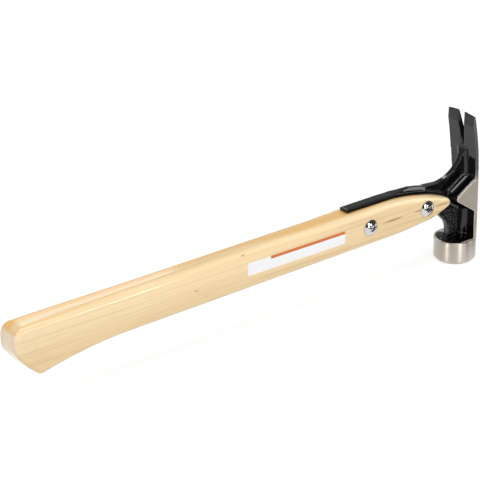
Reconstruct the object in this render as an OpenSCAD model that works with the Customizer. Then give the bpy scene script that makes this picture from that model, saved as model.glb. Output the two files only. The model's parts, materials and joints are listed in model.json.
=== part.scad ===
// Framing hammer with a bolted wooden handle.
// Origin at the centre of the striking face, +Z along the poll towards the claws,
// the handle runs along -X and the flat sides of the hammer face -Y and +Y.

/* [Poll] */
// Diameter of the poll
poll_d = 34.6; // [30:0.2:40]
// Diameter of the flat striking face
face_d = 29.6; // [24:0.2:29.8]
// Height of the bevel round the striking face
face_bevel = 2.7; // [1:0.1:4]
// Height of the poll's outer edge above the striking face
poll_h = 19.2; // [16:0.2:24]
// Radius of the poll's upper edge
poll_round = 2.3; // [1:0.1:3]
// Rise of the poll's shoulder towards the neck
shoulder_rise = 2.4; // [1:0.1:4]

/* [Crown and claws] */
// Height of the claw tips above the handle's back
claw_rise = 53.2; // [46:0.2:62]
// Width over both claws
claw_w = 30.6; // [29:0.2:34]
// Width over the ground cheeks
cheek_w = 28.4; // [26:0.2:28.8]
// Distance from the poll's axis to the crown's edges
crown_reach = 10.4; // [9:0.1:14]
// Thickness of the crown and claws at their edges
edge_t = 3; // [2.4:0.1:4]
// Height of the crown's dome from edge to edge
dome_h = 2.1; // [1:0.1:3]
// Radius of the sweep from crown to claw tips
claw_r = 328; // [240:1:400]
// Depth below the handle's back at which the sweep starts
sweep_drop = 12; // [6:0.5:18]
// Height above the handle's back at which the claws reach their full width
claw_flare = 24; // [16:1:30]
// Length of the nail slot on the claws' underside
slot_len = 30; // [22:1:34]
// Width of the nail slot's underside at the tips
slot_mouth = 8.6; // [7:0.2:10]
// Width of the nail slot's underside at its root
slot_root = 2.4; // [1.6:0.1:3]
// Width of the nail slot's floor
slot_floor = 1; // [0.6:0.1:1.4]
// Lean of the nail slot's bevelled walls
slot_lean = 26; // [18:1:32]
// Length of the bevel under each tip
tip_bevel = 8.5; // [5:0.5:12]
// Length of the bevel across the dome at the tips
dome_bevel = 25.5; // [15:0.5:30]
// Thickness left at the tips
tip_t = 0.6; // [0.5:0.1:1.5]
// Slant of the tips towards the nail slot
tip_slope = 1.2; // [0:0.1:2]
// Radius of the tips' outer corners
tip_round = 1.2; // [0.4:0.1:2]

/* [Web, spine and strap] */
// Thickness of the web and tang
web_t = 4.8; // [4:0.1:8]
// Distance from the poll's axis to the front of the neck
neck_reach = 10.8; // [8:0.2:14]
// Height of the neck's foot above the poll's edge
foot_h = 4.6; // [3:0.2:6]
// Spread of the neck's foot
foot_spread = 2.6; // [1:0.2:4]
// Radius of the neck's foot
foot_r = 6; // [3:0.5:8]
// Height of the neck between its foot and its bend
neck_h = 9.6; // [8.6:0.2:14]
// Radius of the neck's bend
neck_r = 14; // [8:1:14]
// Radius of the spine between strap and claws
spine_r = 30; // [20:1:36]
// Depth of the spine's foot below the handle's back
spine_drop = 0.2; // [0:0.1:1]
// Distance from the poll's axis to the spine's foot
spine_foot = 37; // [34:0.5:44]
// Width of the ridge that joins spine and strap
ridge_w = 2.4; // [1.6:0.2:4]
// Distance from the poll's axis to the ridge's knee
ridge_knee = 52; // [48:1:60]
// Distance from the poll's axis to the ridge's rear end
ridge_reach = 73; // [64:1:76]
// Radius of the fillets beside the web
web_fillet = 5; // [3:0.1:6]
// Width of the strap
strap_w = 7; // [6:0.2:10]
// Thickness of the strap
strap_t = 2.6; // [2:0.1:4]
// Distance from the poll's axis to the strap's end
strap_reach = 118.5; // [116:0.5:130]
// Overhang of the strap past the tang
strap_lip = 2.5; // [1:0.5:4]
// Depth of the tang below the handle's back
tang_depth = 23.4; // [22:0.2:26]
// Radius of the tang's lower corner
tang_r = 8; // [4:0.5:12]
// Height of the cheek where it meets the crown
cheek_h = 28.6; // [22:0.2:34]
// Height of the cheek's upper corner below the handle's back
cheek_drop = 0.6; // [0:0.2:4]
// Radius of the cheek's nose
cheek_nose_r = 3; // [2:0.2:4]
// Distance from the cheek's nose to the handle's nose
cheek_gap = 3.4; // [2:0.2:5]
// Width of the bevel on the cheek's upper edge
cheek_bevel = 1.1; // [0.6:0.1:2]
// Slope of that bevel
cheek_bevel_a = 38; // [30:1:42]

/* [Handle] */
// Distance from the poll's axis to the butt
handle_reach = 427; // [380:0.5:470]
// Height of the handle's back above the striking face
seat_h = 72.4; // [68:0.2:80]
// Thickness between the flat sides
handle_t = 21.8; // [19:0.2:25]
// Depth from back to belly behind the head
shaft_depth = 30.5; // [28:0.2:36]
// Fall of the back line from the head to the butt
back_fall = 3; // [0:0.2:6]
// Fall of the belly line from the head to the grip
belly_fall = 4.4; // [0:0.2:8]
// Radius of the long edges
edge_r = 5.4; // [3:0.2:8]
// Radius of the edges round the butt
butt_edge_r = 2.6; // [1:0.1:4]
// Radius of the flare into the toe
flare_r = 345; // [250:5:600]
// Length of the flare
flare_len = 78.5; // [60:0.5:95]
// Distance from the butt forward to the toe
toe_set = 21.5; // [14:0.5:28]
// Radius of the toe
toe_r = 6; // [3:0.5:9]
// Height of the butt's upright end
butt_h = 20; // [17.5:0.5:26]
// Radius of the heel
heel_r = 10; // [4:0.5:12]
// Radius between the upright end and the slope to the toe
knee_r = 14; // [8:1:20]
// Bulge of the slope to the toe
slope_bulge = 1.4; // [0.5:0.1:3]
// Distance from the poll's axis to the start of the nose's taper
nose_from = 82; // [76:1:90]
// Radius of the nose's back
nose_back_r = 172; // [150:1:200]
// Radius of the belly's rise towards the nose
nose_belly_r = 285; // [240:5:340]
// Distance from the poll's axis to the nose's tip
nose_reach = 15.4; // [14:0.1:18]
// Radius of the nose's tip
nose_tip_r = 4; // [3:0.1:5]
// Radius of the edges at the nose's tip
nose_edge_r = 2.4; // [1:0.1:2.8]
// Slope of the chin under the nose's tip
chin_a = 24; // [18:1:32]

/* [Fasteners] */
// Distance from the poll's axis to the front screw
front_reach = 41.3; // [38:0.1:46]
// Distance between the two screws
screw_pitch = 58.9; // [50:0.1:66]
// Depth of the screws below the handle's back
screw_drop = 14.7; // [13:0.1:16]
// Diameter of the domed heads
head_d = 13.3; // [11:0.1:15]
// Height of the domed heads
head_h = 3.6; // [3:0.1:4.5]
// Height of the straight rim of the domed heads
head_rim = 0.7; // [0.3:0.1:1.2]
// Size of the hex sockets across their flats
hex_af = 5; // [4:0.5:6]
// Depth of the hex sockets
hex_depth = 2.4; // [1.5:0.1:2.8]
// Diameter of the screws
screw_d = 6; // [5:0.1:6.4]
// Length of thread in the sleeves
thread_len = 12; // [8:0.5:14]
// Outer diameter of the sleeves
sleeve_d = 8; // [7.6:0.1:9]

/* [Clearances] */
// Clearance beside the tang in its slot
tang_clear = 0.15; // [0.05:0.05:0.4]
// Clearance under the strap
seat_clear = 0.1; // [0.05:0.05:0.3]
// Clearance round the sleeves in their bores
bore_clear = 0.1; // [0.05:0.05:0.3]
// Clearance round the screws in the sleeves
thread_clear = 0.05; // [0.05:0.05:0.2]

/* [Hidden] */

// Half sizes and heights that several pieces share.
poll_r = poll_d / 2;
web_y = web_t / 2;
side_y = handle_t / 2;
cheek_y = cheek_w / 2;
screw_z = seat_h - screw_drop;
tip_z = seat_h + claw_rise;
bore_r = sleeve_d / 2 + bore_clear;
// Largest distance between a drawn curve and its straight stretches.
curve_tol = 0.02;
// Overlap that makes joined forms one solid, and length that lets cuts run clear.
lap = 0.5;
over = 40;

// Unit vector along v.
function unit(v) = v / norm(v);

// Points on an arc about c from angle a to angle b.
function arc(c, r, a, b) =
    let (steps = max(2, ceil(abs(b - a) / (2 * acos(1 - curve_tol / r)))))
    [for (i = [0:steps]) let (t = a + (b - a) * i / steps) c + r * [cos(t), sin(t)]];

// Arc of radius r that rounds the corner c between its neighbours p and q.
function round_corner(p, c, q, r) =
    let (
        u = unit(p - c),
        v = unit(q - c),
        half = acos(u * v) / 2,
        centre = c + unit(u + v) * r / sin(half),
        from = c + u * r / tan(half) - centre,
        to = c + v * r / tan(half) - centre,
        start = atan2(from.y, from.x),
        turn = atan2(cross(from, to), from * to)
    )
    arc(centre, r, start, start + turn);

// Outline through corners given as [x, z, radius].
function outline(corners) =
    let (n = len(corners), at = function (i) [corners[i % n].x, corners[i % n].y])
    [for (i = [0:n - 1])
        each corners[i].z > 0
            ? round_corner(at(i + n - 1), at(i), at(i + 1), corners[i].z)
            : [at(i)]];

// Closed outline without the points that fall on the next one.
function distinct(line) =
    let (n = len(line))
    [for (i = [0:n - 1]) if (norm(line[i] - line[(i + 1) % n]) > curve_tol) line[i]];

// Plate across the hammer, from its side outline.
module plate(points, width) {
    rotate([90, 0, 0])
        linear_extrude(width, center = true)
            polygon(points);
}

// Handle lines in the side view.
nose_start = -nose_from;
belly_h = seat_h - shaft_depth;
toe_x = toe_set - handle_reach;
flare_x = toe_x + flare_len;
back_slope = back_fall / (handle_reach - nose_from);
belly_slope = belly_fall / (nose_start - flare_x);
back_centre = [nose_start, seat_h - nose_back_r];
belly_centre = [nose_start, belly_h + nose_belly_r];

// The nose's tip touches the long arc of its back from inside.
nose_x = -nose_reach - nose_tip_r;
nose_rise = sqrt((nose_back_r - nose_tip_r) ^ 2 - (nose_x - nose_start) ^ 2);
nose_centre = [nose_x, back_centre.y + nose_rise];
nose_back_a = atan2(nose_rise, nose_x - nose_start);
// Height of the tip's round at x, above its centre or below it.
function tip_h(x) = sqrt(max(0, nose_tip_r ^ 2 - (x - nose_x) ^ 2));

// Height of the back line at x.
function back_z(x) =
    x < nose_start ? seat_h - back_slope * (nose_start - x)
    : x < nose_x + nose_tip_r * cos(nose_back_a)
        ? back_centre.y + sqrt(nose_back_r ^ 2 - (x - nose_start) ^ 2)
    : nose_centre.y + tip_h(x);

// Height of the chin's straight slope at x, which touches the tip's round from below.
function chin_z(x) = nose_centre.y + ((x - nose_x) * sin(chin_a) - nose_tip_r) / cos(chin_a);

// Height of the belly line at x.
function belly_z(x) =
    x < flare_x
        ? belly_h - belly_slope * (nose_start - x) - flare_r + sqrt(flare_r ^ 2 - (flare_x - x) ^ 2)
    : x < nose_start ? belly_h - belly_slope * (nose_start - x)
    : x < nose_x + nose_tip_r * sin(chin_a)
        ? max(belly_centre.y - sqrt(nose_belly_r ^ 2 - (x - nose_start) ^ 2), chin_z(x))
    : nose_centre.y - tip_h(x);

// Line of the handle's back and nose, moved out by off, from the strap's end to the nose's underside.
nose_wrap_a = -35;
function seat_line(off) = concat(
    [[-strap_reach, back_z(-strap_reach) + off]],
    arc(back_centre, nose_back_r + off, 90, nose_back_a),
    arc(nose_centre, nose_tip_r + off, nose_back_a, nose_wrap_a)
);

// Crown.
crown_in = crown_reach - edge_t;
crown_turn = seat_h - sweep_drop;
crown_sink = 3;
crown_low = poll_h - crown_sink;
sweep_r = claw_r - edge_t;
sweep_a = asin((tip_z + tip_slope + lap - crown_turn) / sweep_r);
// Distance by which the claws have swept back at height z.
function swept(z) = claw_r - sqrt(claw_r ^ 2 - max(0, z - crown_turn) ^ 2);

// Section of the crown: flat underside and domed outside.
dome_y = claw_w / 2 + lap;
dome_r = (dome_y ^ 2 + dome_h ^ 2) / (2 * dome_h);
dome_a = asin(dome_y / dome_r);
module crown_section() {
    dome_c = [edge_t + dome_h - dome_r, 0];
    polygon(concat([[0, dome_y], [0, -dome_y]], arc(dome_c, dome_r, -dome_a, dome_a)));
}

// Section of the fillets that carry a flat underside into the web.
module web_flare() {
    r = web_fillet;
    y = web_y + r;
    polygon(concat(
        [[lap, -y]], arc([-r, -y], r, 0, 90),
        arc([-r, y], r, -90, 0), [[lap, y]]
    ));
}

// Moves a section along the crown and the swept claws.
module along_crown() {
    translate([crown_in, 0, crown_low])
        linear_extrude(crown_turn - crown_low)
            children();
    translate([crown_in - sweep_r, 0, crown_turn])
        rotate([90, 0, 0])
            rotate_extrude(angle = sweep_a, $fn = 480)
                translate([sweep_r, 0])
                    children();
}

// Cheeks: ground pads that run from the crown to just before the handle's nose.
cheek_rise = 2;
cheek_top = seat_h - cheek_drop;
cheek_low = cheek_top - cheek_h;
cheek_tip = [cheek_gap + cheek_nose_r - nose_reach, nose_centre.y + cheek_rise];
cheek_upper = [crown_in, cheek_top];
cheek_lower = [crown_in, cheek_low];
// Direction in which a flank leaves the nose's round towards the corner c.
function flank_a(c, side) =
    let (d = c - cheek_tip)
    atan2(d.y, d.x) + side * asin(cheek_nose_r / norm(d));
upper_a = flank_a(cheek_upper, -1);
lower_a = flank_a(cheek_lower, 1);

// Fillets beside the web along one flank, side is 1 above the cheek and -1 below it.
module cheek_fillet(corner, angle, side) {
    run = norm(corner - cheek_tip);
    translate([corner.x, 0, corner.y])
        rotate([0, -angle, 0])
            rotate([0, side * 90, 0])
                translate([0, 0, side > 0 ? -run : 0])
                    linear_extrude(run)
                        web_flare();
}

// Cheeks before grinding, as wide as the claws, with flanks that run on into the crown.
module cheeks() {
    plate(concat(
        [cheek_lower + lap * [1, tan(lower_a)], cheek_upper + lap * [1, tan(upper_a)]],
        arc(cheek_tip, cheek_nose_r, upper_a + 90, lower_a + 270)
    ), claw_w);
    cheek_fillet(cheek_upper, upper_a, 1);
    cheek_fillet(cheek_lower, lower_a, -1);
}

// Bevels along the upper edges of the ground cheeks.
module cheek_bevels() {
    side = cheek_bevel * sqrt(2);
    for (s = [-1, 1])
        translate([cheek_upper.x, s * cheek_y, cheek_upper.y])
            rotate([0, -upper_a, 0])
                rotate([cheek_bevel_a, 0, 0])
                    translate([-over, 0, 0])
                        cube([2 * over, side, side], center = true);
}

// Front view that crown, claws and cheeks are ground to.
// The crown's foot ends on the poll's round.
flare_round = 40;
slot_z = tip_z - slot_len;
crown_foot_y = min(cheek_y, sqrt(poll_r ^ 2 - crown_reach ^ 2));
module claw_front() {
    half = claw_w / 2;
    right = [
        [crown_foot_y, crown_low, 0],
        [cheek_y, cheek_low - web_fillet, 0],
        [cheek_y, seat_h, flare_round],
        [half, seat_h + claw_flare, flare_round],
        [half, tip_z, tip_round],
        [0, tip_z + tip_slope * claw_w / (claw_w - slot_mouth), 0]
    ];
    left = [for (i = [len(right) - 2:-1:0]) [-right[i].x, right[i].y, right[i].z]];
    translate([-over, 0, 0])
        rotate([90, 0, 90])
            linear_extrude(2 * over)
                polygon(outline(concat(right, left)));
}

// Nail slot: its walls lean out towards the underside, and its floor runs up through the dome.
slot_out = 2;
module nail_slot() {
    root_x = crown_in - swept(slot_z);
    mouth_x = crown_in - swept(tip_z);
    points = [for (z = [slot_z, tip_z + over])
        let (
            t = (z - slot_z) / slot_len,
            x = root_x + (mouth_x - root_x) * t,
            half = (slot_root + (slot_mouth - slot_root) * t) / 2,
            out_y = half + slot_out * tan(slot_lean),
            floor_x = x + (half - slot_floor / 2) / tan(slot_lean)
        )
        each [
            [x - slot_out, -out_y, z], [floor_x, -slot_floor / 2, z],
            [floor_x, slot_floor / 2, z], [x - slot_out, out_y, z]
        ]];
    polyhedron(points, concat(
        [[0, 1, 2, 3], [7, 6, 5, 4]],
        [for (i = [0:3]) [i + 4, (i + 1) % 4 + 4, (i + 1) % 4, i]]
    ));
}

// Bevels at the claw tips: under them, and across the dome above them.
module tip_cuts() {
    end_z = tip_z + 2 * tip_slope + lap;
    edge_x = crown_reach - swept(end_z);
    low_z = tip_z - tip_bevel;
    dome_z = tip_z - dome_bevel;
    plate([
        [crown_in - swept(low_z), low_z], [edge_x - tip_t, end_z],
        [edge_x - over, end_z], [edge_x - over, low_z]
    ], 2 * over);
    plate([
        [crown_reach + dome_h - swept(dome_z), dome_z], [edge_x, end_z],
        [edge_x + over, end_z], [edge_x + over, dome_z]
    ], 2 * over);
}

// Poll, with a bevelled face and a rounded upper edge that rises to the neck.
module poll() {
    top_r = poll_r - poll_round;
    rotate_extrude()
        polygon(concat(
            [[0, 0], [face_d / 2, 0], [poll_r, face_bevel]],
            arc([top_r, poll_h - poll_round], poll_round, 0, 90),
            [[0, poll_h + shoulder_rise]]
        ));
}

// Side outline of neck, spine and tang; the tang's top lies inside the strap.
foot_z = poll_h + foot_h;
bend_z = foot_z + neck_h;
spine_z = seat_h - spine_drop;
spine_set = 1.6;
spine_x = crown_in - spine_set;
spine_peak = 1.5;
peak_fall = 8;
tang_z = seat_h - tang_depth;
tang_reach = strap_reach - strap_lip;
web_open_x = bend_z - tang_z - neck_reach;
strap_mid = seat_clear + strap_t / 2;
strap_out = seat_clear + strap_t;
// Point on the strap's curve at a given reach, off above the handle's back.
function strap_point(reach, off) =
    let (r = nose_back_r + off)
    back_centre + [nose_from - reach, sqrt(r ^ 2 - (nose_from - reach) ^ 2)];
function strap_a(reach, off) =
    let (p = strap_point(reach, off) - back_centre) atan2(p.y, p.x);
web_line = outline(concat(
    [
        [crown_reach, crown_low, 0],
        [crown_reach, slot_z + spine_peak - peak_fall, 0],
        [spine_x, slot_z + spine_peak, 0],
        [spine_x, spine_z, spine_r],
        [-spine_foot, spine_z, 0]
    ],
    [for (p = arc(back_centre, nose_back_r + strap_mid, strap_a(spine_foot, strap_mid), 90)) [p.x, p.y, 0]],
    [
        [-tang_reach, back_z(-tang_reach) + strap_mid, 0],
        [-tang_reach, tang_z, tang_r],
        [web_open_x, tang_z, 0],
        [-neck_reach, bend_z, neck_r],
        [-neck_reach, foot_z, foot_r],
        [-neck_reach - foot_spread, foot_z - foot_spread, 0],
        [-neck_reach, crown_low, 0]
    ]
));

module web() {
    plate(web_line, web_t);
}

// Crown, claws and cheeks, joined to the web by fillets.
module crown() {
    difference() {
        intersection() {
            union() {
                along_crown() crown_section();
                intersection() {
                    along_crown() web_flare();
                    plate(web_line, 2 * over);
                }
                cheeks();
            }
            claw_front();
        }
        nail_slot();
        tip_cuts();
        cheek_bevels();
    }
}

// Strap over the handle's back that wraps the nose.
module strap() {
    inner = seat_line(seat_clear);
    outer = seat_line(strap_out);
    plate(concat(inner, [for (i = [len(outer) - 1:-1:0]) outer[i]]), strap_w);
}

// Ridge that rises from the strap's edges to the narrower spine.
module ridge() {
    rear = strap_point(ridge_reach, strap_out);
    front = strap_point(spine_foot, strap_out);
    fall = atan2(rear.y - front.y, front.x - rear.x);
    lean = atan2((strap_w - ridge_w) / 2, (spine_z - front.y) * cos(fall));
    difference() {
        plate([
            rear - [0, lap], rear, [-ridge_knee, seat_h + strap_out],
            [-spine_foot, spine_z], front - [0, lap]
        ], strap_w);
        for (s = [0, 1])
            mirror([0, s, 0])
                translate([front.x, -strap_w / 2, front.y])
                    rotate([0, fall, 0])
                        rotate([-lean, 0, 0])
                            translate([-2 * over, -over, -over])
                                cube([3 * over, over, 2 * over]);
    }
}

module bolt_holes(r) {
    for (x = [-front_reach, -front_reach - screw_pitch])
        translate([x, 0, screw_z])
            rotate([90, 0, 0])
                cylinder(r = r, h = 2 * over, center = true, $fn = 64);
}

module head() {
    color([0.12, 0.12, 0.12])
        difference() {
            union() {
                poll();
                web();
                crown();
                strap();
                ridge();
            }
            bolt_holes(bore_r);
        }
}

// Side outline of the handle, counter-clockwise from the chin over the nose, the back and the butt.
flare_steps = 10;
flare_from = toe_x + 2 * toe_r;
rise_steps = 16;
heel = [-handle_reach, back_z(-handle_reach)];
knee = heel - [0, butt_h];
toe = [toe_x, belly_z(toe_x)];
slope_r = 30;
slope_mid = (knee + toe) / 2 + slope_bulge * [toe.y - knee.y, knee.x - toe.x] / norm(toe - knee);
flare_line = [for (i = [0:flare_steps])
    let (x = flare_from + (flare_x - flare_from) * i / flare_steps) [x, belly_z(x)]];
rise_line = [for (i = [0:rise_steps])
    let (x = nose_start + (nose_x - nose_start) * i / rise_steps) [x, belly_z(x)]];
handle_line = distinct(concat(
    arc(nose_centre, nose_tip_r, chin_a - 90, nose_back_a),
    arc(back_centre, nose_back_r, nose_back_a, 90),
    round_corner(back_centre + [0, nose_back_r], heel, knee, heel_r),
    round_corner(heel, knee, slope_mid, knee_r),
    round_corner(knee, slope_mid, toe, slope_r),
    round_corner(slope_mid, toe, flare_line[0], toe_r),
    flare_line,
    rise_line
));

// Outward direction of a closed outline at its point i.
function out_at(line, i) =
    let (
        n = len(line),
        before = unit(line[i] - line[(i + n - 1) % n]),
        after = unit(line[(i + 1) % n] - line[i]),
        along = unit(before + after)
    )
    [along.y, -along.x];

// Radius of the handle's edges at x where the outline faces out:
// full on the shaft, smaller towards the nose's tip and on the butt's end.
nose_fade = 30;
function edge_r_at(x, out) =
    let (shaft_r = nose_edge_r + (edge_r - nose_edge_r) * min(1, (-nose_reach - x) / nose_fade))
    shaft_r - (edge_r - butt_edge_r) * max(0, -out.x);

// Handle body: the outline with all its edges rounded, its two sides sanded flat.
edge_steps = 5;
side_sand = 0.1;
module handle_body() {
    n = len(handle_line);
    rim = [for (k = [0:edge_steps]) 90 * k / edge_steps];
    levels = concat([for (k = [edge_steps:-1:0]) [-1, rim[k]]], [for (a = rim) [1, a]]);
    points = [for (level = levels) for (i = [0:n - 1])
        let (
            out = out_at(handle_line, i),
            r = edge_r_at(handle_line[i].x, out),
            p = handle_line[i] - r * (1 - cos(level[1])) * out
        )
        [p.x, level[0] * (side_y + side_sand - r * (1 - sin(level[1]))), p.y]];
    last = (len(levels) - 1) * n;
    intersection() {
        polyhedron(points, concat(
            [[for (i = [n - 1:-1:0]) i], [for (i = [0:n - 1]) last + i]],
            [for (k = [0:len(levels) - 2]) for (i = [0:n - 1])
                let (a = k * n + i, b = k * n + (i + 1) % n)
                each [[a, b, a + n], [b, b + n, a + n]]]
        ));
        cube([3 * handle_reach, handle_t, 3 * handle_reach], center = true);
    }
}

// Slot for the tang, open along the back and through the nose.
module tang_slot() {
    low = tang_z - tang_clear;
    rear = -tang_reach - tang_clear;
    open_x = web_open_x - 2 * tang_clear;
    plate([
        [rear, seat_h + over], [rear, low], [open_x, low],
        [open_x, belly_h - over], [over, belly_h - over], [over, seat_h + over]
    ], web_t + 2 * tang_clear);
}

module handle() {
    color([0.9, 0.78, 0.55])
        difference() {
            handle_body();
            tang_slot();
            bolt_holes(bore_r);
        }
}

// Domed head with a hex socket, its seat at z = 0 and its dome upwards.
module domed_head() {
    r = head_d / 2;
    rise = head_h - head_rim;
    sphere_r = (r ^ 2 + rise ^ 2) / (2 * rise);
    rim_a = acos(r / sphere_r);
    difference() {
        rotate_extrude()
            polygon(concat([[0, 0], [r, 0]], arc([0, head_h - sphere_r], sphere_r, rim_a, 90)));
        translate([0, 0, head_h - hex_depth])
            cylinder(d = hex_af / cos(30), h = head_h, $fn = 6);
    }
}

// Screw: head on the near side, thread reaching into the sleeve.
sleeve_gap = 2.4;
module screw(reach) {
    color([0.85, 0.85, 0.86])
        translate([-reach, -side_y, screw_z])
            rotate([90, 0, 0]) {
                domed_head();
                translate([0, 0, -sleeve_gap - thread_len])
                    cylinder(d = screw_d, h = sleeve_gap + thread_len + lap, $fn = 64);
            }
}

// Sleeve nut: head on the far side, barrel through handle and tang.
thread_room = 1;
module sleeve(reach) {
    barrel = handle_t - sleeve_gap;
    color([0.8, 0.8, 0.81])
        translate([-reach, side_y, screw_z])
            rotate([-90, 0, 0])
                difference() {
                    union() {
                        domed_head();
                        translate([0, 0, -barrel])
                            cylinder(d = sleeve_d, h = barrel + lap, $fn = 64);
                    }
                    translate([0, 0, -barrel - lap])
                        cylinder(
                            r = screw_d / 2 + thread_clear,
                            h = thread_len + thread_room + lap, $fn = 64
                        );
                }
}

head();
handle();
screw(front_reach);  // screw_front
screw(front_reach + screw_pitch);  // screw_rear
sleeve(front_reach);  // sleeve_front
sleeve(front_reach + screw_pitch);  // sleeve_rear
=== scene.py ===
"""Framing hammer: black forged head, bare ground poll and cheeks, lacquered handle, chromed fasteners."""

import json
import math

import bmesh
import bpy
from mathutils import Matrix, Vector

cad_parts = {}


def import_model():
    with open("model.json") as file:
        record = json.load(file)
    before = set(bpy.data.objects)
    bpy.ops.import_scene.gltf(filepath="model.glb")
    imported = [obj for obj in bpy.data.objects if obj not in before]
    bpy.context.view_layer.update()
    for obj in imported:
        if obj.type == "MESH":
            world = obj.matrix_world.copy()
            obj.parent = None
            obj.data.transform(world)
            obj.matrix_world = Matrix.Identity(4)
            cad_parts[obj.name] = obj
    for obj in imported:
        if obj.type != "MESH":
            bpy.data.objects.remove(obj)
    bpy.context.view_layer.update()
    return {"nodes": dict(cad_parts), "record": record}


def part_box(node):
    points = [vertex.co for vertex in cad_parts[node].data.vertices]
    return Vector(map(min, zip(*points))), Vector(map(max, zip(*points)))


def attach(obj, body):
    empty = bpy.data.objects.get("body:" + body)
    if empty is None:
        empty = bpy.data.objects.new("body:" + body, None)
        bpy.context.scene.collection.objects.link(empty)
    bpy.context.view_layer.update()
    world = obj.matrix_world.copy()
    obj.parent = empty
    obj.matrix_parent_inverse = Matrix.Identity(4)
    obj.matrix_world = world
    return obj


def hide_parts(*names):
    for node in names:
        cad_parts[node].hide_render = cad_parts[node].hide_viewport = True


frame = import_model()
MM = 0.001

# Places that the finish follows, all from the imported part.
MOUNTS = {mount["name"]: Vector(mount["pos_m"]) for mount in frame["record"]["mounts"]}
HEAD_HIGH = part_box("head")[1]
HANDLE_LOW, HANDLE_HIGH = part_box("handle")
CHEEK_Y = MOUNTS["cheek_far"].y
BACK_Z = HANDLE_HIGH.z
SIDE_Y = HANDLE_HIGH.y

# The handle's back: straight from the butt to the seat, an arc from there over the nose.
SEAT_X = -82 * MM
BACK_FALL = 3 * MM
NOSE_BACK_R = 172 * MM


def linked(name, data):
    """New object of a mesh, a lamp or a camera, in the scene."""
    obj = bpy.data.objects.new(name, data)
    bpy.context.scene.collection.objects.link(obj)
    return obj


def piece(name, mesh, materials, replaces=()):
    """Puts a finished mesh on the hammer."""
    obj = linked(name, mesh)
    for material in materials:
        mesh.materials.append(material)
    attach(obj, "root")
    if replaces:
        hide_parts(*replaces)
    return obj


def made(bm, name):
    """Mesh of a finished bmesh, which is freed."""
    mesh = bpy.data.meshes.new(name)
    bm.to_mesh(mesh)
    bm.free()
    return mesh


def applied(obj):
    """Mesh of an object with its modifiers applied; the object itself is removed."""
    graph = bpy.context.evaluated_depsgraph_get()
    mesh = bpy.data.meshes.new_from_object(obj.evaluated_get(graph))
    bpy.data.objects.remove(obj)
    return mesh


# Materials


class Finish:
    """One node material, with short ways to add the nodes that its look needs."""

    def __init__(self, name):
        self.material = bpy.data.materials.new(name)
        self.material.use_nodes = True
        self.tree = self.material.node_tree
        self.shader = self.tree.nodes["Principled BSDF"]
        self.place = self.tree.nodes.new("ShaderNodeTexCoord").outputs["Object"]

    def join(self, value, socket):
        """Links a node's output to a socket, or sets the socket to a plain value."""
        if isinstance(value, bpy.types.NodeSocket):
            self.tree.links.new(value, socket)
        else:
            socket.default_value = value

    def set(self, **values):
        """Sets or links the shader's inputs by name."""
        for name, value in values.items():
            self.join(value, self.shader.inputs[name.replace("_", " ")])

    def axis(self, letter):
        """One coordinate of the point, in metres along the part's own axes."""
        split = self.tree.nodes.new("ShaderNodeSeparateXYZ")
        self.tree.links.new(self.place, split.inputs[0])
        return split.outputs[letter]

    def math(self, operation, a, b=0.0):
        node = self.tree.nodes.new("ShaderNodeMath")
        node.operation = operation
        self.join(a, node.inputs[0])
        self.join(b, node.inputs[1])
        return node.outputs[0]

    def ramp(self, value, low, high, start=0.0, end=1.0):
        """Smooth step of value from start at low to end at high."""
        node = self.tree.nodes.new("ShaderNodeMapRange")
        node.interpolation_type = "SMOOTHSTEP"
        for socket, number in zip(node.inputs, (value, low, high, start, end)):
            self.join(number, socket)
        return node.outputs[0]

    def stretched(self, scale):
        """The point with each axis scaled by itself, for noise that runs one way."""
        node = self.tree.nodes.new("ShaderNodeMapping")
        self.tree.links.new(self.place, node.inputs["Vector"])
        node.inputs["Scale"].default_value = scale
        return node.outputs[0]

    def noise(self, vector, scale=1.0, detail=3.0, rough=0.5, bend=0.0):
        node = self.tree.nodes.new("ShaderNodeTexNoise")
        self.join(vector, node.inputs["Vector"])
        node.inputs["Scale"].default_value = scale
        node.inputs["Detail"].default_value = detail
        node.inputs["Roughness"].default_value = rough
        node.inputs["Distortion"].default_value = bend
        return node.outputs["Fac"]

    def mix(self, factor, a, b):
        """Colour a where factor is 0, b where it is 1."""
        node = self.tree.nodes.new("ShaderNodeMix")
        node.data_type = "RGBA"
        self.join(factor, node.inputs["Factor"])
        for value, index in ((a, 6), (b, 7)):
            self.join(value if isinstance(value, bpy.types.NodeSocket) else (*value, 1), node.inputs[index])
        return node.outputs[2]

    def bump(self, height, distance, strength=1.0):
        node = self.tree.nodes.new("ShaderNodeBump")
        node.inputs["Strength"].default_value = strength
        node.inputs["Distance"].default_value = distance
        self.tree.links.new(height, node.inputs["Height"])
        return node.outputs[0]


# Paint and steel of the head.
BLACK = (0.0025, 0.0025, 0.0028)
BLAST = (0.008, 0.008, 0.0085)
STEEL = (0.57, 0.515, 0.45)
GROUND = (0.60, 0.54, 0.46)
# Steel of the poll's face bevel, darker as a painted dark reflection.
BEVEL_DARK_REFLECTION = (0.22, 0.20, 0.18)
# Grey of the cheeks' bevel: a painted reflection on half-metallic steel.
BEVEL_SHEEN_GREY = (0.16, 0.155, 0.17)
# Dark grey of the bare claws' sides higher up.
CLAW_SIDE_GREY = (0.15, 0.15, 0.152)
# Grey of the painted glints on the neck's black paint.
NECK_GLINT_GREY = (0.09, 0.09, 0.092)

# Where the paint stops: within PAINT_EDGE of the cheeks' faces, which flare out along the claws.
PAINT_EDGE = 0.35 * MM
PAINT_RAGGED = 0.1 * MM
FLARE_RUN = 24 * MM
FLARE_OUT = 1.1 * MM
# Heights over which the bare claws' sides turn dark grey.
CLAW_SIDE_GREY_Z = (66 * MM, 80 * MM)

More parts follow.
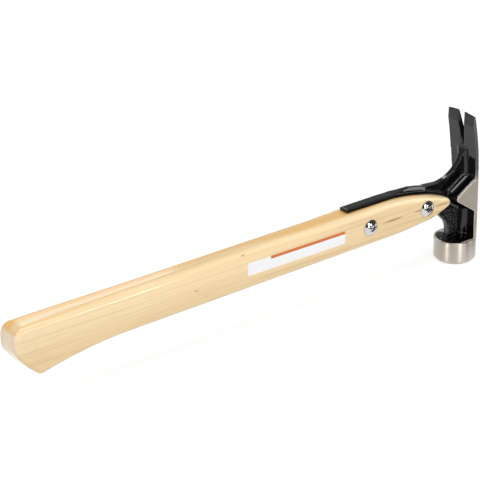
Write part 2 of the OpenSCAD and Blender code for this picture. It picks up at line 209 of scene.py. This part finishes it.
# The cheeks' bevel, half-bare steel whose grey is a painted reflection, the blasted claw tips, and the
# forged skin of the neck, pitted and with painted glints.
BEVEL_W = 1.25 * MM
BEVEL_Z = (60 * MM, 72.6 * MM)
BEVEL_X = 7.2 * MM
TIP_BLAST_Z = HEAD_HIGH.z - 9.7 * MM
TIP_BLAST_FADE = 0.4 * MM
FORGED_X = 0 * MM
FORGED_Z = (22 * MM, 50 * MM)
FORGED_RISE = 4 * MM
FORGED_FALL = 6 * MM


def forged_head_finish():
    """Gloss black paint, ground bare along the cheeks and the claws' sides."""
    f = Finish("forged_head")
    x, y, z = (f.axis(letter) for letter in "XYZ")
    flare = f.ramp(z, BACK_Z, BACK_Z + FLARE_RUN, 0.0, FLARE_OUT)
    side = f.math("SUBTRACT", f.math("ABSOLUTE", y), flare)
    ragged = f.noise(f.place, scale=900, detail=2)
    side = f.math("ADD", side, f.math("MULTIPLY", ragged, PAINT_RAGGED))
    bare = f.math("GREATER_THAN", side, CHEEK_Y - PAINT_EDGE)
    bevel = f.math("GREATER_THAN", side, CHEEK_Y - BEVEL_W)
    bevel = f.math("MULTIPLY", bevel, f.math("GREATER_THAN", z, BEVEL_Z[0]))
    bevel = f.math("MULTIPLY", bevel, f.math("LESS_THAN", z, BEVEL_Z[1]))
    bevel = f.math("MULTIPLY", bevel, f.math("LESS_THAN", x, BEVEL_X))
    blast = f.ramp(z, TIP_BLAST_Z - TIP_BLAST_FADE, TIP_BLAST_Z)
    blast = f.math("MULTIPLY", blast, f.math("SUBTRACT", 1.0, bare))

    belt = f.noise(f.stretched((2600, 2600, 70)), detail=2, rough=0.6)
    steel = f.mix(belt, [c * 0.88 for c in GROUND], [c * 1.12 for c in GROUND])
    # The bare steel is made dark grey up the claws' sides.
    steel = f.mix(f.ramp(z, *CLAW_SIDE_GREY_Z), steel, CLAW_SIDE_GREY)
    neck = f.math("LESS_THAN", x, FORGED_X)
    neck = f.math("MULTIPLY", neck, f.ramp(z, FORGED_Z[0], FORGED_Z[0] + FORGED_RISE))
    neck = f.math("MULTIPLY", neck, f.ramp(z, FORGED_Z[1] - FORGED_FALL, FORGED_Z[1], 1.0, 0.0))
    # Noise of the neck's pits: it gives the skin its bumps and places the painted glints.
    forged_pits_and_glints = f.noise(f.place, scale=800, detail=2, rough=0.6)
    hammered = f.math("MULTIPLY", forged_pits_and_glints, f.ramp(neck, 0.0, 1.0, 0.25, 7.0))
    dull = f.ramp(f.noise(f.place, scale=60, detail=3), 0.35, 0.75)
    paint = f.mix(dull, BLACK, [c * 1.6 for c in BLACK])
    # Painted glints: grey specks on the neck stand in for lamps' highlights on its forged skin.
    paint = f.mix(f.math("MULTIPLY", f.ramp(forged_pits_and_glints, 0.5, 0.62), neck), paint, NECK_GLINT_GREY)
    paint = f.mix(blast, paint, BLAST)
    # Painted reflection: the cheeks' bevel is painted grey for the sheen it shows.
    paint = f.mix(bevel, paint, BEVEL_SHEEN_GREY)
    gloss = f.math("ADD", f.ramp(dull, 0, 1, 0.06, 0.14), f.math("MULTIPLY", blast, 0.4))
    relief = f.mix(blast, f.mix(bare, hammered, belt), f.noise(f.place, scale=2600, detail=2))
    f.set(
        Base_Color=f.mix(bare, paint, steel),
        Metallic=f.math("MULTIPLY", f.math("MAXIMUM", bare, bevel), 0.55),
        Roughness=f.math("ADD", gloss, f.math("MULTIPLY", bare, 0.32)),
        Normal=f.bump(relief, 0.04 * MM, 0.6),
    )
    return f.material


# Turned poll: the face and its bevel, the cylinder, and the rim round the painted shoulder.
POLL_R = HEAD_HIGH.y
FACE_R = 14.8 * MM
FACE_BEVEL = 2.7 * MM
RIM_Z = 19.05 * MM
RIM_W = 1.9 * MM
POLL_EDGE = 0.6 * MM
POLL_PAINT_Z = 18.2 * MM


def ground_poll_finish():
    """Turned and ground steel, brushed round the poll."""
    f = Finish("ground_poll")
    tool_marks = f.noise(f.stretched((40, 40, 5200)), detail=2, rough=0.6)
    patches = f.noise(f.place, scale=90, detail=3)
    tone = f.math("ADD", f.math("MULTIPLY", tool_marks, 0.6), f.math("MULTIPLY", patches, 0.4))
    steel = f.mix(tone, [c * 0.85 for c in STEEL], [c * 1.15 for c in STEEL])
    tangent = f.tree.nodes.new("ShaderNodeTangent")
    tangent.direction_type = "RADIAL"
    tangent.axis = "Z"
    # Painted dark reflection: the poll's face bevel is painted darker steel towards the floor.
    f.set(
        Base_Color=f.mix(f.ramp(f.axis("Z"), 0.0, FACE_BEVEL, 0.6, 0.0), steel, BEVEL_DARK_REFLECTION),
        Metallic=1.0,
        Roughness=f.ramp(tool_marks, 0.3, 0.7, 0.4, 0.46),
        Anisotropic=0.9,
        Anisotropic_Rotation=0.25,
        Tangent=tangent.outputs[0],
        Coat_Weight=0.8,
        Coat_Roughness=0.22,
        Normal=f.bump(tool_marks, 0.01 * MM, 0.4),
    )
    return f.material


# Colours of the side grain, of its dark lines and streaks, and of the end grain.
WOOD = (0.84, 0.63, 0.35)
WOOD_PALE = (0.88, 0.69, 0.42)
WOOD_LOW = (0.77, 0.57, 0.30)
WOOD_LINE = (0.60, 0.38, 0.16)
WOOD_LATE = (0.84, 0.50, 0.16)
STREAK = (0.44, 0.20, 0.085)
END_PALE = (0.83, 0.68, 0.50)
END_DARK = (0.70, 0.51, 0.34)

# Late wood on the back: a band on the far half that spreads towards the head, and a line near the butt.
LATE_BAND = (-1.5 * MM, 2.5 * MM)
LATE_LINE = (-7.4 * MM, -4.2 * MM)
LATE_LINE_X = (-410 * MM, -290 * MM)
LATE_SPREAD = 6.5 * MM
LATE_SPREAD_X = (-230 * MM, -150 * MM)
LATE_DEPTH = (4 * MM, 7 * MM)

# Brown streaks on the near side: distance along the handle, height, half length and half height.
STREAKS = (
    (-77 * MM, 57.6 * MM, 14 * MM, 1.2 * MM),
    (-50 * MM, 58.1 * MM, 6 * MM, 1.0 * MM),
    (-25.5 * MM, 57.0 * MM, 11 * MM, 1.0 * MM),
    (-224 * MM, 68.6 * MM, 2.2 * MM, 0.7 * MM),
    (-269 * MM, 53.5 * MM, 3 * MM, 0.8 * MM),
)


def lacquered_wood_finish():
    """Pale straight-grained wood under clear lacquer."""
    f = Finish("lacquered_wood")
    x, y, z = (f.axis(letter) for letter in "XYZ")
    wander = f.noise(f.stretched((4, 25, 25)), detail=2)
    sway = f.math("MULTIPLY", f.math("SUBTRACT", wander, 0.5), 5 * MM)
    rings = f.noise(f.stretched((1.6, 90, 330)), detail=2, rough=0.5, bend=0.2)
    lines = f.noise(f.stretched((7, 420, 1500)), detail=2, rough=0.6)
    fibres = f.noise(f.stretched((60, 2200, 4200)), detail=3, rough=0.6)
    back = f.ramp(x, HANDLE_LOW.x, SEAT_X, BACK_Z - BACK_FALL, BACK_Z)
    depth = f.math("ADD", f.math("SUBTRACT", back, z), sway)
    wood = f.mix(f.ramp(rings, 0.35, 0.65), WOOD_PALE, WOOD)
    # The side grain darkens towards the belly, from 12 to 30 mm below the back.
    wood = f.mix(f.ramp(depth, 12 * MM, 30 * MM), wood, WOOD_LOW)
    fine = f.math("MULTIPLY", f.ramp(lines, 0.51, 0.62), f.ramp(depth, 6 * MM, 24 * MM, 0.25, 0.6))
    wood = f.mix(fine, wood, WOOD_LINE)
    wood = f.mix(f.math("MULTIPLY", f.ramp(fibres, 0.5, 0.75), 0.15), wood, WOOD_LINE)

    across = f.math("ADD", y, f.math("MULTIPLY", sway, 0.4))
    spread = f.math("ADD", across, f.ramp(x, *LATE_SPREAD_X, 0.0, LATE_SPREAD))
    far_band = f.math("MULTIPLY", f.ramp(spread, *LATE_BAND), f.ramp(rings, 0.3, 0.6, 0.55, 1.0))
    line_at = f.ramp(x, *LATE_LINE_X, *LATE_LINE)
    off_line = f.math("ABSOLUTE", f.math("SUBTRACT", across, line_at))
    near_line = f.ramp(off_line, 0.2 * MM, 1.1 * MM, 0.6, 0.0)
    late = f.math("MAXIMUM", far_band, near_line)
    late = f.math("MULTIPLY", late, f.ramp(depth, *LATE_DEPTH, 1.0, 0.0))
    wood = f.mix(late, wood, WOOD_LATE)

    near = f.math("LESS_THAN", y, 0.0)
    for along, height, half_length, half_height in STREAKS:
        run = f.math("DIVIDE", f.math("SUBTRACT", x, along), half_length)
        rise = f.math("DIVIDE", f.math("SUBTRACT", z, height), half_height)
        reach = f.math("ADD", f.math("MULTIPLY", run, run), f.math("MULTIPLY", rise, rise))
        mark = f.math("MULTIPLY", f.ramp(reach, 0.0, 1.0, 0.95, 0.0), f.ramp(fibres, 0.3, 0.6, 0.5, 1.0))
        wood = f.mix(f.math("MULTIPLY", mark, near), wood, STREAK)

    facing = f.tree.nodes.new("ShaderNodeSeparateXYZ")
    f.tree.links.new(f.tree.nodes.new("ShaderNodeNewGeometry").outputs["Normal"], facing.inputs[0])
    end = f.ramp(facing.outputs["X"], -0.9, -0.6, 1.0, 0.0)
    pores = f.noise(f.stretched((100, 420, 120)), detail=3, rough=0.6, bend=0.6)
    end_wood = f.mix(f.ramp(pores, 0.45, 0.7), END_PALE, END_DARK)
    end_wood = f.mix(f.ramp(depth, 3 * MM, 7 * MM, 0.9, 0.0), end_wood, WOOD_LATE)
    wood = f.mix(end, wood, end_wood)

    f.set(
        Base_Color=wood,
        Roughness=f.ramp(fibres, 0.3, 0.7, 0.42, 0.55),
        Coat_Weight=0.8,
        Coat_Roughness=0.07,
        Normal=f.bump(fibres, 0.03 * MM, 0.35),
        Coat_Normal=f.bump(lines, 0.02 * MM, 0.3),
    )
    return f.material


CHROME_LOW = (0.56, 0.56, 0.56)
CHROME_HIGH = (0.64, 0.635, 0.63)


def chrome_finish():
    """Polished chrome with a faint haze."""
    f = Finish("polished_chrome")
    haze = f.noise(f.place, scale=900, detail=3)
    f.set(
        Base_Color=f.mix(haze, CHROME_LOW, CHROME_HIGH),
        Metallic=1.0,
        Roughness=f.ramp(haze, 0.3, 0.7, 0.05, 0.1),
        Normal=f.bump(haze, 0.01 * MM, 0.3),
    )
    return f.material


STICKER_WHITE = (0.87, 0.87, 0.88)
STRIPE_ORANGE = (0.62, 0.16, 0.03)
STICKER_X = (-221 * MM, -126 * MM)
STICKER_Z = (51.4 * MM, 61.9 * MM)
STICKER_T = 0.12 * MM
STRIPE_FROM_X = -199 * MM
STRIPE_H = 2.4 * MM
STICKER_CORNER = 0.8 * MM


def sticker_finish():
    """White paper with a plain orange stripe along its upper edge."""
    f = Finish("sticker_paper")
    x, z = f.axis("X"), f.axis("Z")
    fibre = f.noise(f.place, scale=1800, detail=3)
    paper = f.mix(fibre, [c * 0.96 for c in STICKER_WHITE], STICKER_WHITE)
    stripe = f.math("GREATER_THAN", z, STICKER_Z[1] - STRIPE_H)
    stripe = f.math("MULTIPLY", stripe, f.math("GREATER_THAN", x, STRIPE_FROM_X))
    f.set(
        Base_Color=f.mix(stripe, paper, STRIPE_ORANGE),
        Roughness=f.ramp(fibre, 0.3, 0.7, 0.35, 0.45),
        Normal=f.bump(fibre, 0.01 * MM, 0.3),
    )
    return f.material


# Head and handle


COPY_MERGE = 0.0001 * MM
HEAD_VOXEL = 0.5 * MM
HANDLE_VOXEL = 0.9 * MM
SMOOTH_PASSES = 6
# Each pass smooths and then swells back, so that the copy keeps its size.
SMOOTH_STEPS = (0.5, -0.52)


def smoothed_copy(node, voxel, shape):
    """Copy of a CAD node with finely rounded edges; shape moves its vertices before they are smoothed."""
    bm = bmesh.new()
    bm.from_mesh(frame["nodes"][node].data)
    bmesh.ops.remove_doubles(bm, verts=bm.verts, dist=COPY_MERGE)
    obj = linked(node + "_copy", made(bm, node + "_copy"))
    remesh = obj.modifiers.new("remesh", "REMESH")
    remesh.mode = "VOXEL"
    remesh.voxel_size = voxel
    mesh = applied(obj)
    bm = bmesh.new()
    bm.from_mesh(mesh)
    for vert in bm.verts:
        vert.co = shape(*vert.co)
    for factor in SMOOTH_STEPS * SMOOTH_PASSES:
        bmesh.ops.smooth_vert(
            bm, verts=bm.verts, factor=factor, use_axis_x=True, use_axis_y=True, use_axis_z=True
        )
    for face in bm.faces:
        face.smooth = True
    bm.to_mesh(mesh)
    bm.free()
    return mesh


def eased(value, low, high):
    """Smooth step of value from 0 at low to 1 at high."""
    t = min(1, max(0, (value - low) / (high - low)))
    return t * t * (3 - 2 * t)


# The strap beside the solid's: its share of added width and thickness, fading out on the neck.
STRAP_WIDER = 0.34
STRAP_THICKER = 0.2
STRAP_FADE = (-45 * MM, -22 * MM)
STRAP_UNDER = 0.3 * MM

# The strap's rounded upper edges, from its end to where the ridge begins.
STRAP_HALF = 4.7 * MM
STRAP_T = 3.1 * MM
STRAP_ROUND = 0.9 * MM
RIDGE_FROM_X = -76 * MM


def back_height(x):
    """Height of the handle's back at x: straight along the shaft, an arc over the nose."""
    if x < SEAT_X:
        return BACK_Z - BACK_FALL * (SEAT_X - x) / (SEAT_X - HANDLE_LOW.x)
    return BACK_Z - NOSE_BACK_R + math.sqrt(NOSE_BACK_R**2 - (x - SEAT_X) ** 2)


def rounded_off(y, z, half_width, top, wide, deep):
    """Point of a bar's section, brought in to the rounding of the bar's two upper edges."""
    inner, under = half_width - wide, top - deep
    out, up = (abs(y) - inner) / wide, (z - under) / deep
    reach = math.hypot(out, up)
    if out < 0 or up < 0 or reach < 1:
        return y, z
    return math.copysign(inner + out * wide / reach, y), under + up * deep / reach


def fuller_strap(x, y, z):
    """Point of the head with the strap made a little wider and thicker where it lies on the handle."""
    share = 1 - eased(x, *STRAP_FADE)
    back = back_height(x)
    if share == 0 or z < back - STRAP_UNDER:
        return x, y, z
    y *= 1 + share * STRAP_WIDER
    z = back + (z - back) * (1 + share * STRAP_THICKER)
    if x < RIDGE_FROM_X:
        y, z = rounded_off(y, z, STRAP_HALF, back + STRAP_T, STRAP_ROUND, STRAP_ROUND)
    return x, y, z


def forged_head():
    """Forging above the poll, cut off square where the bare poll begins."""
    mesh = smoothed_copy("head", HEAD_VOXEL, fuller_strap)
    bm = bmesh.new()
    bm.from_mesh(mesh)
    bmesh.ops.bisect_plane(
        bm,
        geom=bm.verts[:] + bm.edges[:] + bm.faces[:],
        plane_co=(0, 0, POLL_PAINT_Z),
        plane_no=(0, 0, 1),
        clear_inner=True,
    )
    bmesh.ops.holes_fill(bm, edges=[e for e in bm.edges if e.is_boundary], sides=0)
    bm.to_mesh(mesh)
    bm.free()
    return piece("forged_head", mesh, [forged_head_finish()], ["head"])


SEAM_MERGE = 0.001 * MM
POLL_STEPS = 144
POLL_SHARP = math.radians(30)


def turned(bm, steps):
    """Spins a profile once round the Z axis and closes its seam and poles."""
    bmesh.ops.spin(
        bm, geom=bm.verts[:] + bm.edges[:], axis=(0, 0, 1), cent=(0, 0, 0),
        angle=2 * math.pi, steps=steps, use_merge=True,
    )
    bmesh.ops.remove_doubles(bm, verts=bm.verts, dist=SEAM_MERGE)


def ground_poll():
    """Bare poll: flat face, bevel, cylinder and the rim that the painted shoulder sits in."""
    bm = bmesh.new()
    rim_in = POLL_R - RIM_W
    profile = [
        (0, 0), (FACE_R, 0), (POLL_R, FACE_BEVEL), (POLL_R, RIM_Z),
        (rim_in, RIM_Z), (rim_in, POLL_PAINT_Z), (0, POLL_PAINT_Z),
    ]
    verts = [bm.verts.new((r, 0, height)) for r, height in profile]
    for pair in zip(verts, verts[1:]):
        bm.edges.new(pair)
    outer = verts[1:4]
    bmesh.ops.bevel(
        bm, geom=outer, offset=POLL_EDGE, segments=4, profile=0.5, affect="VERTICES", material=-1
    )
    turned(bm, POLL_STEPS)
    bmesh.ops.recalc_face_normals(bm, faces=bm.faces)
    mesh = made(bm, "ground_poll")
    mesh.shade_smooth()
    mesh.set_sharp_from_angle(angle=POLL_SHARP)
    return piece("ground_poll", mesh, [ground_poll_finish()])


# Rounding of the back's long edges at the handle's ends, and its width and depth along the shaft.
EDGE_ROUND = 6 * MM
SHAFT_ROUND = (6.8 * MM, 9.5 * MM)
SHAFT_FROM = (-410 * MM, -310 * MM)
SHAFT_TO = (-155 * MM, -122 * MM)


def fuller_back(x, y, z):
    """Point of the handle with the back's long edges rounded off more fully along the shaft."""
    if x > SHAFT_TO[1]:
        return x, y, z
    share = eased(x, *SHAFT_FROM) * (1 - eased(x, *SHAFT_TO))
    wide, deep = (EDGE_ROUND + share * (full - EDGE_ROUND) for full in SHAFT_ROUND)
    return x, *rounded_off(y, z, SIDE_Y, back_height(x), wide, deep)


def wooden_handle():
    """Handle with its back rounded off and its edges softened."""
    mesh = smoothed_copy("handle", HANDLE_VOXEL, fuller_back)
    return piece("wooden_handle", mesh, [lacquered_wood_finish()], ["handle"])


# Fasteners


DOME_RIM = 0.7 * MM
DOME_RISE = 2.9 * MM
DOME_CHAMFER = 0.15 * MM
DOME_ARC_STEPS = 24
DOME_TURN_STEPS = 96
DOME_SHARP = math.radians(35)
HEX_FLATS = 5 * MM
HEX_DEPTH = 2.4 * MM
HEX_SOFT = 0.12 * MM
HEX_SHARP = math.radians(40)
KEY_LENGTH = 6 * MM


def plain_dome(radius):
    """Dome before its socket is cut, facing up from a seat at z = 0."""
    sphere = (radius**2 + DOME_RISE**2) / (2 * DOME_RISE)
    sphere_z = DOME_RIM + DOME_RISE - sphere
    span = math.asin(radius / sphere)
    profile = [(radius - DOME_CHAMFER, 0, 0), (radius, 0, DOME_CHAMFER)]
    for step in range(DOME_ARC_STEPS + 1):
        lean = span * (1 - step / DOME_ARC_STEPS)
        profile.append((sphere * math.sin(lean), 0, sphere_z + sphere * math.cos(lean)))
    bm = bmesh.new()
    verts = [bm.verts.new(point) for point in profile]
    for pair in zip(verts, verts[1:]):
        bm.edges.new(pair)
    turned(bm, DOME_TURN_STEPS)
    bmesh.ops.holes_fill(bm, edges=bm.edges, sides=0)
    bmesh.ops.recalc_face_normals(bm, faces=bm.faces)
    return linked("dome", made(bm, "dome"))


def hex_key():
    """Key that cuts the socket into a dome's top."""
    bm = bmesh.new()
    corner_r = HEX_FLATS / math.sqrt(3)
    middle_z = DOME_RIM + DOME_RISE - HEX_DEPTH + KEY_LENGTH / 2
    bmesh.ops.create_cone(
        bm, cap_ends=True, segments=6, radius1=corner_r, radius2=corner_r, depth=KEY_LENGTH,
        matrix=Matrix.Translation((0, 0, middle_z)),
    )
    return linked("key", made(bm, "key"))


def domed_head_mesh(centre, radius, seat_y, out):
    """Domed head with a hex socket, seated on the handle's side; out is -1 on the near side."""
    obj = plain_dome(radius)
    cutter = hex_key()
    cut = obj.modifiers.new("socket", "BOOLEAN")
    cut.operation = "DIFFERENCE"
    cut.solver = "EXACT"
    cut.object = cutter
    soften = obj.modifiers.new("soften", "BEVEL")
    soften.limit_method = "ANGLE"
    soften.angle_limit = HEX_SHARP
    soften.width = HEX_SOFT
    soften.segments = 2
    mesh = applied(obj)
    bpy.data.objects.remove(cutter)
    turn = Matrix.Rotation(math.radians(-90 * out), 4, "X")
    mesh.transform(Matrix.Translation((centre.x, seat_y, centre.z)) @ turn)
    mesh.shade_smooth()
    mesh.set_sharp_from_angle(angle=DOME_SHARP)
    return mesh


def fasteners():
    """Chromed heads of the screws and their sleeves."""
    chrome = chrome_finish()
    heads = []
    for node in ("screw_front", "screw_rear", "sleeve_front", "sleeve_rear"):
        low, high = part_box(node)
        centre = (low + high) / 2
        out = -1 if node.startswith("screw") else 1
        mesh = domed_head_mesh(centre, (high.x - low.x) / 2, out * SIDE_Y, out)
        heads.append(piece(node + "_head", mesh, [chrome], [node]))
    return heads


def sticker():
    """Paper sticker on the near side of the handle."""
    bm = bmesh.new()
    length, height = STICKER_X[1] - STICKER_X[0], STICKER_Z[1] - STICKER_Z[0]
    middle = Vector((sum(STICKER_X) / 2, -SIDE_Y - STICKER_T / 2, sum(STICKER_Z) / 2))
    size = Matrix.Diagonal((length, STICKER_T, height, 1))
    bmesh.ops.create_cube(bm, size=1, matrix=Matrix.Translation(middle) @ size)
    corners = [e for e in bm.edges if abs(e.verts[0].co.y - e.verts[1].co.y) > STICKER_T / 2]
    bmesh.ops.bevel(
        bm, geom=corners, offset=STICKER_CORNER, segments=5, profile=0.5, affect="EDGES", material=-1
    )
    piece("sticker", made(bm, "sticker"), [sticker_finish()])


# Camera, floor and light

VIEW_AZIMUTH = math.radians(-37.5643)
VIEW_ELEVATION = math.radians(24.3268)
VIEW_ROLL = math.radians(-0.47163)
VIEW_DISTANCE = 1.75203
VIEW_AIM = Vector((-0.219877, 0, 0.077112))
SENSOR_MM = 36
PICTURE_PX = 480
FOCAL_PX = 2340.75
FAR_CLIP = 50


def camera():
    """Camera on the near side, left of the head and above it."""
    data = bpy.data.cameras.new("camera")
    data.sensor_width = SENSOR_MM
    data.lens = SENSOR_MM * FOCAL_PX / PICTURE_PX
    data.clip_end = FAR_CLIP
    obj = linked("camera", data)
    level = math.cos(VIEW_ELEVATION)
    rise = math.sin(VIEW_ELEVATION)
    back = Vector((math.sin(VIEW_AZIMUTH) * level, -math.cos(VIEW_AZIMUTH) * level, rise))
    right = Vector((math.cos(VIEW_AZIMUTH), math.sin(VIEW_AZIMUTH), 0))
    rotation = Matrix((right, back.cross(right), back)).transposed().to_4x4()
    roll = Matrix.Rotation(VIEW_ROLL, 4, "Z")
    obj.matrix_world = Matrix.Translation(VIEW_AIM + back * VIEW_DISTANCE) @ rotation @ roll
    bpy.context.scene.camera = obj


def seen_ray(tree):
    """1 for rays that show the background: seen, mirrored or seen through."""
    path = tree.nodes.new("ShaderNodeLightPath")
    value = path.outputs["Is Camera Ray"]
    for name in ("Is Glossy Ray", "Is Transmission Ray"):
        either = tree.nodes.new("ShaderNodeMath")
        either.operation = "MAXIMUM"
        tree.links.new(value, either.inputs[0])
        tree.links.new(path.outputs[name], either.inputs[1])
        value = either.outputs[0]
    return value


FLOOR_HALF = 12
FLOOR_GLOW = 0.8
FLOOR_SEEN = 0.3
FLOOR_PALE = 0.75


def floor():
    """Pale floor: white where it is seen or mirrored, and plain where it only lights the hammer."""
    bm = bmesh.new()
    bmesh.ops.create_grid(bm, x_segments=1, y_segments=1, size=FLOOR_HALF)
    mesh = made(bm, "floor")
    material = bpy.data.materials.new("floor")
    material.use_nodes = True
    tree = material.node_tree
    tree.nodes.clear()
    plain = tree.nodes.new("ShaderNodeBsdfDiffuse")
    plain.inputs["Color"].default_value = (FLOOR_PALE, FLOOR_PALE, FLOOR_PALE, 1)
    seen = tree.nodes.new("ShaderNodeBsdfDiffuse")
    seen.inputs["Color"].default_value = (FLOOR_SEEN, FLOOR_SEEN, FLOOR_SEEN, 1)
    glow = tree.nodes.new("ShaderNodeEmission")
    glow.inputs["Strength"].default_value = FLOOR_GLOW
    both = tree.nodes.new("ShaderNodeAddShader")
    tree.links.new(seen.outputs[0], both.inputs[0])
    tree.links.new(glow.outputs[0], both.inputs[1])
    mix = tree.nodes.new("ShaderNodeMixShader")
    tree.links.new(seen_ray(tree), mix.inputs["Fac"])
    tree.links.new(plain.outputs[0], mix.inputs[1])
    tree.links.new(both.outputs[0], mix.inputs[2])
    output = tree.nodes.new("ShaderNodeOutputMaterial")
    tree.links.new(mix.outputs[0], output.inputs["Surface"])
    mesh.materials.append(material)
    linked("floor", mesh)


ROOM_FRONT = 0.07
ROOM_BACK = 0.36
ROOM_FADE = (-0.5, 0.6)


def world():
    """Dim studio room, lighter behind the hammer than behind the camera."""
    scene_world = bpy.data.worlds.new("studio")
    bpy.context.scene.world = scene_world
    scene_world.use_nodes = True
    tree = scene_world.node_tree
    direction = tree.nodes.new("ShaderNodeSeparateXYZ")
    tree.links.new(tree.nodes.new("ShaderNodeTexCoord").outputs["Generated"], direction.inputs[0])
    fade = tree.nodes.new("ShaderNodeMapRange")
    fade.interpolation_type = "SMOOTHSTEP"
    tree.links.new(direction.outputs["Y"], fade.inputs["Value"])
    limits = (*ROOM_FADE, ROOM_FRONT, ROOM_BACK)
    for name, number in zip(("From Min", "From Max", "To Min", "To Max"), limits):
        fade.inputs[name].default_value = number
    light = tree.nodes["Background"]
    light.inputs["Color"].default_value = (1, 1, 1, 1)
    tree.links.new(fade.outputs[0], light.inputs["Strength"])


def softbox(name, place, target, width, height, radiance):
    """Soft box of the given size, as bright as radiance times white."""
    data = bpy.data.lights.new(name, "AREA")
    data.shape = "RECTANGLE"
    data.size = width
    data.size_y = height
    data.energy = radiance * math.pi * width * height
    obj = linked(name, data)
    place = Vector(place)
    aim = (place - Vector(target)).to_track_quat("Z", "Y").to_matrix().to_4x4()
    obj.matrix_world = Matrix.Translation(place) @ aim
    return obj


def flag_off(lamp, shaded):
    """Keeps one lamp off the given pieces, as a flag on a stand does."""
    group = bpy.data.collections.new(lamp.name + "_flag")
    for obj in shaded:
        group.objects.link(obj)
    for entry in group.collection_objects:
        entry.light_linking.link_state = "EXCLUDE"
    lamp.light_linking.receiver_collection = group


POLL = (0, 0, 0.02)
NECK = (0, 0, 0.08)
SHAFT = (-0.2, 0, 0.06)
BUTT = (-0.38, 0, 0.07)
# Each soft box: name, place, what it is aimed at, width, height and radiance.
SOFT_BOXES = (
    ("front_box", (-0.36, -1.56, 0.6), POLL, 0.22, 1.1, 12.5),
    ("left_box", (-1.5, -0.2, 0.55), POLL, 0.2, 1.0, 11.5),
    ("head_box", (1.48, -1.05, 0.95), POLL, 1.0, 0.9, 3.6),
    ("glint_box", (0.27, -1.44, 0.39), POLL, 0.1, 0.1, 25),
    ("high_glint_box", (-0.05, -1.3, 0.99), POLL, 0.1, 0.1, 22),
    ("edge_box", (0.19, -0.97, 0.45), BUTT, 0.26, 0.08, 15),
    ("back_box", (0.4, 1.45, 1.35), NECK, 0.4, 0.4, 6),
    ("rear_box", (0.6, 1.5, 0.94), BUTT, 0.3, 0.4, 1.7),
    ("low_box", (1.25, 1.35, 0.36), POLL, 0.7, 0.3, 1.5),
    ("top_box", (-0.1, -0.3, 1.8), SHAFT, 1.0, 0.8, 5.4),
)


def lights(chromed):
    """Soft boxes round the hammer, one of them kept off the chromed heads."""
    lamps = {box[0]: softbox(*box) for box in SOFT_BOXES}
    flag_off(lamps["head_box"], chromed)


CARD_RIGHT = (0.05, 0.9)
CARD_DEPTH = (-0.8, 0.03)
CARD_Z = 0.2 * MM
CARD_GREY = 0.02


def dark_card():
    """Dark card on the floor, right of the view, that the side faces mirror."""
    bm = bmesh.new()
    bmesh.ops.create_grid(bm, x_segments=1, y_segments=1, size=0.5)
    size = Matrix.Diagonal((CARD_RIGHT[1] - CARD_RIGHT[0], CARD_DEPTH[1] - CARD_DEPTH[0], 1, 1))
    centre = Matrix.Translation((sum(CARD_RIGHT) / 2, sum(CARD_DEPTH) / 2, CARD_Z))
    bmesh.ops.transform(bm, verts=bm.verts, matrix=Matrix.Rotation(VIEW_AZIMUTH, 4, "Z") @ centre @ size)
    mesh = made(bm, "dark_card")
    f = Finish("dark_card")
    f.set(Base_Color=(CARD_GREY, CARD_GREY, CARD_GREY, 1), Roughness=0.9)
    mesh.materials.append(f.material)
    obj = linked("dark_card", mesh)
    obj.visible_camera = False
    obj.visible_diffuse = False
    obj.visible_shadow = False


forged_head()
ground_poll()
wooden_handle()
chromed_heads = fasteners()
sticker()
camera()
floor()
dark_card()
world()
lights(chromed_heads)
bpy.context.scene.view_settings.view_transform = "Standard"
